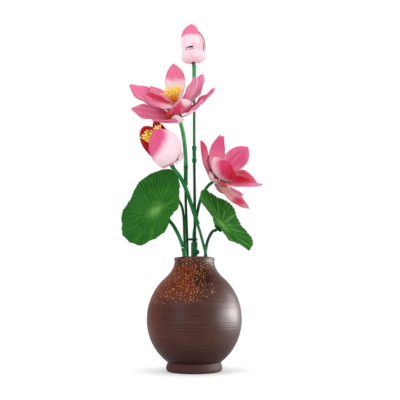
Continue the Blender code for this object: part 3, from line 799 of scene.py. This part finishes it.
def leafFinish(name, light, veins):
    finish, shader, spot = newFinish(name, IOR=1.17, Specular_IOR_Level=0.0)
    turn, share, _ = split(made(spot.tree, "ShaderNodeUVMap", uv_map="leafMap"))
    mottle = cloud(spot, 38, 3.0, 0.55)
    patches = cloud(spot, 75, 2.0)
    streaks = cloud(combine(turn * 150, share * 2.2, 0.0), 1.0, 3.0, 0.6)
    # beside is 0 on every vein and halfway to the next
    beside = calc("ABSOLUTE", calc("FRACT", turn * veins * 2 + 0.5) - 0.5)
    lines = ramp(beside * share, 0.055, 0.012) * ramp(share, 0.85, 0.2)
    colour = layered(
        leaves["green"], leaves,
        (1 - ramp(mottle, 0.2, 0.6), "darkGreen"),
        # light is painted light: more yellow-green, pale streaks and pale patches over the whole blade
        (ramp(patches, 0.56, 0.78) * (0.55 + light * 0.4), "yellowGreen"),
        (ramp(streaks, 0.5, 0.75) * (0.1 + light * 0.15), "veinGreen"),
        (ramp(streaks, 0.46, 0.28) * ramp(share, 0.8, 0.1) * 0.12, "darkGreen"),
        (ramp(patches, 0.3, 0.7, light * 0.8, light * 1.4), "lineGreen"),
        (lines * 0.3, "lineGreen"),
        (ramp(share - lines * 0.04, 0.09, 0.03), "hubGreen"),
        (ramp(share, 0.972, 0.99) * 0.5, "rimGreen"))
    dress(shader, colour, ramp(streaks, 0.3, 0.7, 0.62, 0.74), streaks + patches * 0.3,
          0.2 - 0.25 * light, 0.2)
    return finish


def veinFinish(name, hub):
    # pale at the hub, and the blade's own green towards the rim
    finish, shader, spot = newFinish(name, IOR=1.17, Specular_IOR_Level=0.0)
    patches = cloud(spot, 120, 2.0)
    away = made(spot.tree, "ShaderNodeVectorMath", {0: spot, 1: Vector(hub) * mm}, output=1,
                operation="DISTANCE")
    far = ramp(away / mm + patches * 12, 6, 24)
    dress(shader, mixed(far, leaves["lineGreen"], leaves["farVein"]), ramp(patches, 0.3, 0.7, 0.6, 0.72))
    return finish


def buildLeaves():
    tree = buildVeinTree()
    for side in ("left", "right"):
        shape = leaves[side]
        name = side + "_leaf"
        blade = bladeMesh(name + "_blade", shape, leafFinish(name + "Green", shape["light"], shape["veins"]))
        veins = grow(name + "_veins", tree, {
            "veins": shape["veins"], "finish": veinFinish(name + "Vein", shape["hub"])}, blade.copy())
        for mesh in (blade, veins):
            mesh.transform(axesMatrix(*axesAlong(shape["normal"]), shape["hub"]))
            addPiece(mesh.name, mesh, "leaf_plastic", name)
        print(name, len(blade.polygons), len(veins.polygons))


# Petals

colours = {name: paint(*shade) for name, shade in {
    "pink": (222, 114, 152), "pale": (232, 204, 213), "deep": (192, 36, 82), "crimson": (182, 26, 52),
    "cherry": (198, 56, 92), "magenta": (206, 82, 126), "blush": (228, 188, 198), "coral": (206, 78, 84),
    "beige": (214, 166, 160), "rose": (212, 126, 148), "white": (238, 224, 230), "lilac": (202, 150, 180),
    "orchid": (224, 132, 168), "edge": (160, 108, 132), "red": (176, 8, 22), "maroon": (58, 6, 14),
    "core": (120, 30, 50), "hubLow": (196, 60, 84), "hubHigh": (226, 120, 140),
    "jointLow": (206, 22, 40), "jointHigh": (236, 60, 66), "threadFoot": (200, 74, 10),
    "thread": (242, 176, 30), "anther": (252, 214, 54), "pollen": (255, 240, 140),
}.items()}
petalLook = {                           # what a petal looks like where its own table says nothing
    "tip": "pink", "base": "pale", "edge": 0.5, "soft": 0.06, "tilt": 0.0, "bulge": 0.0, "rim": "edge",
    "rimShare": 0.55, "lines": 0.35, "bands": 0.45, "foot": "beige", "footEdge": 0.05,
    "outerBase": None, "patch": None,   # the patch: colour, place and size across and along, softness
}
petalShape = {
    "length": 45.0, "width": 22.0, "bow": 5.0, "curl": 0.0, "cup": 34.0, "base": 0.22, "shoulder": 0.58,
    "point": 0.92, "belly": 1.0, "wall": 0.95, "ribs": 7.0, "ribDepth": 0.07, "keel": 0.25, "ruffle": 0.5,
    "rows": 60, "columns": 44,
}


def petal(turn, lean, level, length, width, bow, look, **shape):
    # the way round the flower and out from its axis in degrees, then millimetres, and what differs
    return dict(turn=turn, lean=lean, level=level, length=length, width=width, bow=bow, look=look, **shape)


def cupPetal(turn, ring):
    look = dict(tip="pale", base="blush", edge=0.4, soft=0.3, lines=0.3, bands=0.3)
    return petal(turn, 37, 1.8, 15.5, 26.5, 5, look, cup=80, ring=ring, base=0.55, shoulder=0.5, point=0.45)


redLook = dict(tip="red", base="crimson", foot="maroon", rim="crimson")
whiteLook = dict(tip="pale", base="white")
tallLook = dict(tip="magenta", base="rose", soft=0.3, lines=0.06, bands=0.0)
openFlower = {
    "name": "open", "base": (-16.6, -4.0, 278.8), "axis": (-0.22, -0.60, 0.77), "ring": 4.4,
    "hubRadius": 3.0, "hubTop": 25, "stamens": 110, "stamenLength": 15.5, "spread": 0.5,
    "petals": {
        "back": petal(82, 36, 20, 49, 24, 6, dict(edge=0.62, soft=0.08, tilt=0.1)),
        "back_left": petal(138, 58, 22, 38, 15, 3, dict(edge=0.3, base="rose")),
        # right_inner's white rim is a painted highlight
        "right_inner": petal(22, 45, 18, 38, 20, 5, dict(tip="orchid", base="pink", edge=0.3, soft=0.3,
            rim="white", lines=0.8, bands=0.8), roll=5),
        "far_left": petal(157, 54, 14.3, 60.8, 24, 5, dict(edge=0.45, base="rose", lines=0.5), ruffle=1.3,
            roll=-15),
        # the cherry patch on left_deep is painted shade along the upper edge of its inner face
        "left_deep": petal(205, 52, 21, 35, 28, 5, dict(edge=0.3, soft=0.4, patch=("cherry", 1.0, 0.5,
            0.36, 0.75, 0.3), bands=0.15, lines=0.2), roll=-25, base=0.35),
        "front_inner": petal(290, 48, 12, 33, 26, 7, dict(tip="pale", base="rose", edge=0.6, soft=0.2,
            patch=("cherry", 0.72, 0.5, 0.4, 0.5, 0.4), lines=0.5), base=0.35),
        "right_upper": petal(38, 54, 12, 51, 19, 6, dict(tip="orchid", edge=0.42, soft=0.25, bands=0.6),
            ruffle=1.3, roll=10),
        "far_right": petal(10, 66, 8.6, 48, 18, 4, dict(edge=0.42, soft=0.12, base="coral",
            outerBase="pale"), ruffle=1.3),
        "low_left": petal(197, 61.5, 6.4, 53, 25, 3.5, dict(edge=0.3, soft=0.15, base="coral", lines=0.9),
            ruffle=1.3, roll=-28, base=0.45),
        "under": petal(237, 64, 1.4, 45, 21, 2, dict(base="rose", edge=0.3), base=0.35),
        "front": petal(264, 38, 0.5, 18, 12.5, 2.5, dict(tip="white", lines=0.9), cup=18, ring=6.6,
            point=0.7),
        "low_right": petal(324, 58, 5.6, 42, 19, 4, dict(edge=0.6)),
    },
}
halfFlower = {
    "name": "half_open", "base": (-25.8, -14.0, 224.3), "axis": (-0.48, -0.34, 0.81), "ring": 4.2,
    "hubRadius": 2.8, "hubTop": 12, "stamens": 120, "stamenLength": 31, "spread": 0.2,
    "stamenTilt": (-0.02, -0.12, 0.0),
    "petals": {
        # the rose foot of the front petal is painted shade at the bottom of the cup
        "front": petal(290, 13, 0.8, 44.5, 36.5, 14, dict(tip="magenta", edge=0.66, soft=0.12, tilt=0.5,
            bands=0.1, foot="rose", footEdge=0.09, lines=0.15), cup=56, base=0.58, shoulder=0.44,
            belly=0.85, point=0.78),
        "right": petal(358, 22, 10.5, 29, 22, 9, whiteLook, cup=48),
        "left": petal(157.6, 4.7, 7.5, 45, 25, 4.9, redLook, roll=-65, base=0.45, shoulder=0.52,
            point=0.6),
        "back": petal(75, 19, 7, 48, 18, 6, redLook),
        "back_right": petal(46, 26, 2.2, 32, 20, 9, whiteLook),
        "cup": petal(345, 52, -0.8, 16, 15, 4, whiteLook, cup=40, base=0.3, ring=5.4),
    },
}
sideFlower = {
    "name": "side", "base": (21.3, 2.0, 208.9), "axis": (0.66, -0.30, 0.69), "ring": 4.2,
    "hubRadius": 2.8, "hubTop": 12, "stamens": 60, "stamenLength": 12, "spread": 0.5,
    "petals": {
        "left": petal(209, 51, 3.6, 48, 21, 8, dict(tip="cherry", base="rose", soft=0.35, lines=0.15,
            bands=0.0), ruffle=0.0, curl=-10, roll=-36.5, base=0.35, point=1.0),
        "tall": petal(150, 38, 9, 46, 29, 5, tallLook, ruffle=0.0, roll=-22, base=0.4, shoulder=0.3,
            point=1.4),
        "tall_back": petal(122, 44, 5.5, 55, 20, 5, tallLook),
        "front": petal(261, 50, 8.6, 36.7, 35, 8, dict(tip="cherry", base="blush", soft=0.2, tilt=-0.45,
            bulge=0.2, patch=("crimson", 0.1, 0.75, 0.3, 0.3, 0.8), lines=0.15, bands=0.2, rim="cherry",
            rimShare=0.3), cup=44, base=0.5, ruffle=0.0),
        # right_round's pale rim is a painted highlight
        "right_round": petal(74, 24, 12, 47, 26, 6, dict(base="rose", edge=0.35, lines=0.1, bands=0.2,
            patch=("magenta", 0.5, 0.6, 0.42, 0.36, 0.6), rim="pale")),
        "right_mid": petal(327, 54, 6, 47, 27, -3, dict(base="beige", edge=0.45, soft=0.3,
            patch=("crimson", 0.4, 0.55, 0.4, 0.32, 0.7), lines=0.15, bands=0.2), roll=55, ring=5,
            shoulder=0.48, point=1.2),
        "right_far": petal(8, 56, 6, 52, 20, 4, dict(tip="lilac", base="rose", edge=0.7, bands=0.2)),
        "low": petal(335, 85, 2.5, 49, 19, 4, dict(tip="rose", base="beige", edge=0.7, patch=("cherry",
            0.5, 0.68, 0.5, 0.14, 0.6)), roll=30, point=1.3),
        "low_back": petal(27, 80, 2, 42, 20, 3, dict(edge=0.6)),
    },
}
bud = {
    "name": "bud", "base": (-0.8, 2.0, 351.4), "axis": (-0.05, -0.04, 1.0), "ring": 3.4,
    "petals": {
        # the thin maroon patch low on the front petal is a painted shadow line where it meets the cups
        "front": petal(247, -3, 8, 42, 25, 9.5, dict(edge=0.57, soft=0.04, tilt=-0.05, lines=0.12,
            bands=0.1, patch=("maroon", 0.42, 0.23, 0.2, 0.022, 0.3)), cup=58, ring=6, base=0.45,
            shoulder=0.42, point=0.75),
        # the thin maroon patch on the right petal is a painted shadow line of a gap
        "right": petal(323, 7, 3, 37, 22, 8.4, dict(edge=0.85, tip="pale", base="blush", lines=0.3,
            bands=0.1, patch=("maroon", 0.43, 0.42, 0.045, 0.3, 0.3)), cup=54, belly=0.8, base=0.6,
            shoulder=0.4),
        "left": petal(170, 7, 3, 38, 23, 7.5, dict(edge=0.7, bands=0.15), cup=56, belly=0.75, base=0.6,
            shoulder=0.4),
        "back": petal(68, -3, 5, 43, 27, 9, dict(edge=0.7, soft=0.03), cup=62, ring=6, base=0.8,
            shoulder=0.35, point=0.75),
    },
    "cups": {"left": cupPetal(212, 4), "right": cupPetal(304, 4.3)},
    "coreRadius": 8.5, "coreMiddle": 25, "coreRise": 16, "hubRadius": 2.5, "hubTop": 8.6,
}
bractShape = {"ring": 2.6, "base": 0.5, "shoulder": 0.4, "point": 0.6, "rows": 20, "columns": 18}
bracts = {                              # short scales under the side flower
    "right": petal(345, 94, -0.8, 16, 13, 2, dict(tip="coral", base="beige", edge=0.55, soft=0.3)),
    "front": petal(300, 64, 0.6, 19, 21, 2, dict(tip="coral", base="blush", soft=0.3)),
    "left": petal(228, 60, 0.2, 15, 16, 2.5, dict(tip="blush", base="beige", soft=0.3)),
    "back": petal(110, 60, 0.2, 11, 9, 2.5, dict(tip="blush", base="coral", soft=0.3)),
}


def petalMatrix(flower, shape):
    # the petal's own frame: X across it, Y from foot to tip, Z out of its inner face
    right, back, up = axesAlong(flower["axis"])
    turn, lean = math.radians(shape["turn"]), math.radians(shape["lean"])
    outward = right * math.cos(turn) + back * math.sin(turn)
    foot = Vector(flower["base"]) + up * shape["level"] + outward * shape.get("ring", flower["ring"])
    along = up * math.cos(lean) + outward * math.sin(lean)
    inner = up * math.sin(lean) - outward * math.cos(lean)
    inner = Matrix.Rotation(math.radians(shape.get("roll", 0)), 3, along) @ inner
    return axesMatrix(along.cross(inner), along, inner, foot)


def buildPetalTree():
    tree, ask = newShapeTree("mouldedPetal", petalShape)
    grid = geo(tree, "MeshGrid", {0: 1.0, 1: 1.0, 2: ask["columns"], 3: ask["rows"]})
    x, y, _ = split(geo(tree, "InputPosition"))
    across = x * 2 * 0.6 + sine(x * 2 * quarterTurn) * 0.4               # closer at the margins
    aside = calc("ABSOLUTE", across)
    step = y + 0.5
    share = (step + sine(step * quarterTurn)) * 0.5
    # how wide it is from foot to tip
    shoulder = ask["shoulder"]
    rise = ask["base"] + (1 - ask["base"]) * sine(calc("MINIMUM", share / shoulder, 1.0) * quarterTurn)
    past = calc("MAXIMUM", (share - shoulder) / (1 - shoulder), 0.0)
    half = ask["width"] * 0.5 * rise * calc("MAXIMUM", 1 - past ** 2.5, 0.0) ** ask["point"]
    # how it curls in across, bows along and rises in ribs
    bend = ask["cup"] * (sine(calc("MINIMUM", share + 0.1, 1.0) * math.pi) * 0.55 + 0.45)
    sideways = half * sine(bend * across) / sine(bend)
    lift = half * (1 - cosine(bend * across)) / sine(bend)
    belly = share ** ask["belly"]
    inMiddle = ramp(share, 0.0, 0.15) * ramp(share, 1.0, 0.85)
    lift = lift - ask["bow"] * 4 * belly * (1 - belly) + ask["curl"] * share ** 4
    lift = lift + ask["ribDepth"] * cosine(across * math.pi * ask["ribs"]) * inMiddle * (1 - aside ** 6)
    lift = lift - ask["keel"] * ramp(aside, 0.22, 0.0) * inMiddle
    lift = lift + ask["ruffle"] * aside ** 3 * sine(share * 17 + across * 2) * inMiddle
    wall = ask["wall"] * 0.5 * mm
    for closing in (aside ** 10, (1 - step) ** 24, step ** 18):          # thin to nothing all round
        wall = wall * root(calc("MAXIMUM", 1 - closing, 0.0))
    mapped = stored(grid, "petalMap", combine(across * 0.5 + 0.5, share, 0.0), "FLOAT2", "CORNER")
    shaped = moved(stored(mapped, "wallHere", wall),
                   scaled(combine(sideways, ask["length"] * share, lift), mm))
    push = scaled(geo(tree, "InputNormal"), remembered(tree, "wallHere"))
    sides = []
    for outer, sheet in ((0.0, shaped), (1.0, geo(tree, "FlipFaces", {0: shaped}))):
        pushed = geo(tree, "SetPosition", {"Geometry": sheet, "Offset": push})
        sides.append(stored(pushed, "outerFace", outer, domain="FACE"))
    return endTree(tree, welded(joined(*sides), weldGap), ask["finish"])


def petalFinish(name, changes):
    look = {**petalLook, "seed": sum(map(ord, name)) % 97, **changes}
    finish, shader, spot = newFinish(name, IOR=1.22, Specular_IOR_Level=0.02)
    across, share, _ = split(made(spot.tree, "ShaderNodeUVMap", uv_map="petalMap"))
    outer = made(spot.tree, "ShaderNodeAttribute", output=2, attribute_name="outerFace")
    mottle = cloud(spot, 95, 3.0)
    lines = cloud(combine(across * 34, share * 2.4, outer * 7), 1.0, 3.0, 0.6)
    bands = cloud(combine(across * 5.5, share * 1.3, outer * 5 + look["seed"]), 1.0, 2.0)
    aside = calc("ABSOLUTE", across * 2 - 1)
    line = share + (across - 0.5) * look["tilt"] + (mottle - 0.5) * 0.08 + (lines - 0.5) * 0.1
    line = line - aside ** 2 * look["bulge"]
    tipShare = ramp(line, look["edge"] - look["soft"], look["edge"] + look["soft"])
    colour = mixed(tipShare, colours[look["base"]], colours[look["tip"]])
    if look["patch"]:
        tint, middle, level, wide, tall, soft = look["patch"]
        away = root(((across - middle) / wide) ** 2 + ((share - level) / tall) ** 2)
        colour = mixed(ramp(away + (mottle - 0.5) * 0.5, 1 + soft, 1 - soft), colour, colours[tint])
    if look["outerBase"]:
        colour = mixed(outer, colour, mixed(tipShare, colours[look["outerBase"]], colours[look["tip"]]))
    colour = layered(
        colour, colours,
        (ramp(share, look["footEdge"] + 0.05, look["footEdge"] - 0.04), look["foot"]),
        (ramp(bands, 0.52, 0.74) * look["bands"] * 0.6, "white"),
        (ramp(bands, 0.46, 0.26) * look["bands"] * 0.6, "deep"),
        (ramp(lines, 0.5, 0.75) * look["lines"] * 0.5, "deep"),
        (ramp(lines, 0.46, 0.28) * look["lines"] * 0.5, "white"),
        # a thin band of the rim colour along the margins, a painted highlight where that colour is pale
        (ramp(aside, 0.93, 0.985) * look["rimShare"], look["rim"]))
    dress(shader, colour, ramp(mottle, 0.3, 0.7, 0.5, 0.62), lines, 0.3, 0.15)
    return finish


def buildPetals(tree, flower, shapes, prefix, slotName="petal_plastic", common=None, replacing=True):
    for key, shape in shapes.items():
        name = prefix + key
        finish = petalFinish(name + "Finish", shape["look"])
        sizes = {**petalShape, **(common or {}), **shape, "finish": finish}
        mesh = grow(name, tree, {**sizes, "cup": math.radians(sizes["cup"])})
        mesh.transform(petalMatrix(flower, sizes))
        slot = "red_petal" if shape["look"].get("tip") == "red" else slotName
        slot = "pale_petal" if name == "half_open_petal_cup" else slot
        if replacing:
            addPiece("moulded_" + name, mesh, slot, name)
        else:
            addPiece(name, mesh, slot)
    print(prefix, len(shapes))


joint = {"foot": (-18.6, -6.0, 284.0), "head": (-28.5, -20.5, 283.3), "peg": 1.4, "block": 3.3}


def buildJoint():
    # the red joint low in the open flower, on a peg that reaches into its hub
    finish = hubFinish("jointRed", "jointLow", "jointHigh")
    foot, head = Vector(joint["foot"]), Vector(joint["head"])
    along = (head - foot).normalized()
    peg = rodBetween(foot, head, joint["peg"])
    block = rodBetween(head - along * 2.2, head + along * 2.4, joint["block"], 4, 0.5)
    addPiece("open_joint", merged("open_joint", [peg, block], finish), "petal_plastic")


# Hubs and stamens

hub = {"collarHalf": 0.9, "collarInset": 0.35, "collarGap": 0.4}
stamen = {"count": 100, "disc": 3.0, "length": 14.0, "spread": 0.6, "thread": 0.3, "anther": 0.62,
          "antherLength": 2.4, "seed": 5}
goldenAngle = 2.39996


def buildStamenTree():
    # bent threads with an anther each, set in a spiral on the hub's top and leaning out
    tree, ask = newShapeTree("stamens", stamen)
    length = ask["length"] * mm
    tip = combine(length * 0.12, 0.0, length)
    thread = bowed(7, (0, 0, 0), combine(length * -0.05, 0.0, length * 0.5), tip)
    ball = geo(tree, "MeshUVSphere", {"Segments": 8, "Rings": 6, "Radius": ask["anther"] * mm})
    anther = geo(tree, "Transform", {
        "Geometry": ball, "Translation": tip, "Rotation": (0, 0.25, 0),
        "Scale": combine(1.0, 1.0, ask["antherLength"] / (ask["anther"] * 2))})
    heights = split(geo(tree, "InputPosition"))
    one = stored(joined(roundTube(thread, 6, ask["thread"] * mm), anther), "stamenShare",
                 heights[2] / length)
    number = geo(tree, "InputIndex")
    out = root((number + 0.5) / ask["count"])
    angle = number * goldenAngle
    radius = ask["disc"] * mm * out
    points = geo(tree, "Points", {
        "Count": ask["count"], "Position": combine(radius * cosine(angle), radius * sine(angle), 0.0)})
    wobble = chance(number, -0.12, 0.12, ask["seed"])
    turned = geo(tree, "InstanceOnPoints", {
        "Points": points, "Instance": one, "Scale": chance(number, 0.62, 1.15, ask["seed"] + 1),
        "Rotation": combine(0.0, out * ask["spread"] + wobble, angle + wobble)})
    return endTree(tree, turned, ask["finish"])


def stamenFinish():
    finish, shader, spot = newFinish("stamenYellow", Roughness=0.45, IOR=1.45)
    share = made(spot.tree, "ShaderNodeAttribute", output=2, attribute_name="stamenShare")
    grain = ramp(cloud(spot, 500, 2.0), 0.3, 0.7)
    dress(shader, layered(
        colours["threadFoot"], colours, (ramp(share, 0.05, 0.45), "thread"),
        (ramp(share, 0.4, 0.85), "anther"), (ramp(share, 0.88, 1.0) * grain, "pollen")))
    return finish


def hubFinish(name, low, high):
    finish, shader, spot = newFinish(name, IOR=1.45)
    grain = cloud(spot, 160, 3.0)
    dress(shader, mixed(ramp(grain, 0.3, 0.7), colours[low], colours[high]), ramp(grain, 0.3, 0.7, 0.35, 0.5))
    return finish


def hubMesh(flower, finish):
    # a post with a collar under every petal's foot
    top = flower["hubTop"]
    radius = flower["hubRadius"]
    wide = flower["ring"] - hub["collarInset"]
    profile = [(0, -0.2), (radius - 0.3, -0.2), (radius, 0.1)]
    height = 0.6
    for level in sorted({max(shape["level"], 1.2) for shape in flower["petals"].values()}):
        low, high = level - hub["collarHalf"], level + hub["collarHalf"]
        if low < height + hub["collarGap"] and len(profile) > 3:
            height = max(height, high)
            profile = [p for p in profile if p[1] < high - 0.2] + [(wide, high - 0.2), (radius, high)]
            continue
        low = height + 0.1 if low < height + hub["collarGap"] else low
        profile += [(radius, low), (wide, low + 0.2), (wide, high - 0.2), (radius, high)]
        height = high
    profile = [p for p in profile if p[1] < top - 0.5] + [(radius, top - 0.4), (radius - 0.4, top), (0, top)]
    return latheMesh(flower["name"] + "_hub", profile, 32, standing(flower["base"], flower["axis"]), finish)


def buildHearts():
    tree = buildStamenTree()
    yellow = stamenFinish()
    hubPaint = hubFinish("hubRose", "hubLow", "hubHigh")
    for flower in (openFlower, halfFlower, sideFlower):
        node = flower["name"] + "_heart"
        up = axesAlong(flower["axis"])[2]
        addPiece("moulded_" + flower["name"] + "_hub", hubMesh(flower, hubPaint), "petal_plastic", node)
        mesh = grow(node, tree, {
            "count": flower["stamens"], "disc": flower["hubRadius"] * 0.85, "length": flower["stamenLength"],
            "spread": flower["spread"], "finish": yellow})
        start = Vector(flower["base"]) + up * (flower["hubTop"] - 0.5)
        mesh.transform(standing(start, up + Vector(flower.get("stamenTilt", (0, 0, 0)))))
        addPiece("moulded_" + flower["name"] + "_stamens", mesh, "stamen_plastic", node)
        print(node, len(mesh.polygons), "faces")


def buildBudCore():
    # the furled inner petals: an egg with a twist of folds, on the hub that the petals hold to; its dark
    # maroon is the inner petals' red, darkened as painted shade in the gaps between the petals
    radius = bud["hubRadius"]
    egg = arcPoints((bud["coreRadius"], bud["coreRise"]), -70, 90, 40, bud["coreMiddle"])[:-1]
    profile = [(0, -0.7), (radius - 0.2, -0.7), (radius, -0.4), (radius, bud["hubTop"]), *egg,
               (0, bud["coreMiddle"] + bud["coreRise"])]
    mesh = latheMesh("bud_core", profile, 96, finish=hubFinish("budCore", "maroon", "core"))
    for vertex in mesh.vertices:
        height = vertex.co.z / mm
        inEgg = max(0.0, min(1.0, (height - 12) / 8))
        fold = (3 * math.atan2(vertex.co.y, vertex.co.x) + 0.22 * height) / fullTurn % 1
        shrink = 1 - 0.10 * inEgg * fold
        vertex.co.x *= shrink
        vertex.co.y *= shrink
    mesh.transform(standing(bud["base"], bud["axis"]))
    addPiece("furled_bud_core", mesh, "pale_petal", "bud_core")


buildStudio()
print("studio ready")
buildVase()
buildLeaves()
buildStems()
petalTree = buildPetalTree()
for head in (openFlower, halfFlower, sideFlower, bud):
    buildPetals(petalTree, head, head["petals"], head["name"] + "_petal_")
buildPetals(petalTree, bud, bud["cups"], "bud_cup_", "pale_petal")
buildPetals(petalTree, sideFlower, bracts, "bract_", common=bractShape, replacing=False)
buildJoint()
buildHearts()
buildBudCore()
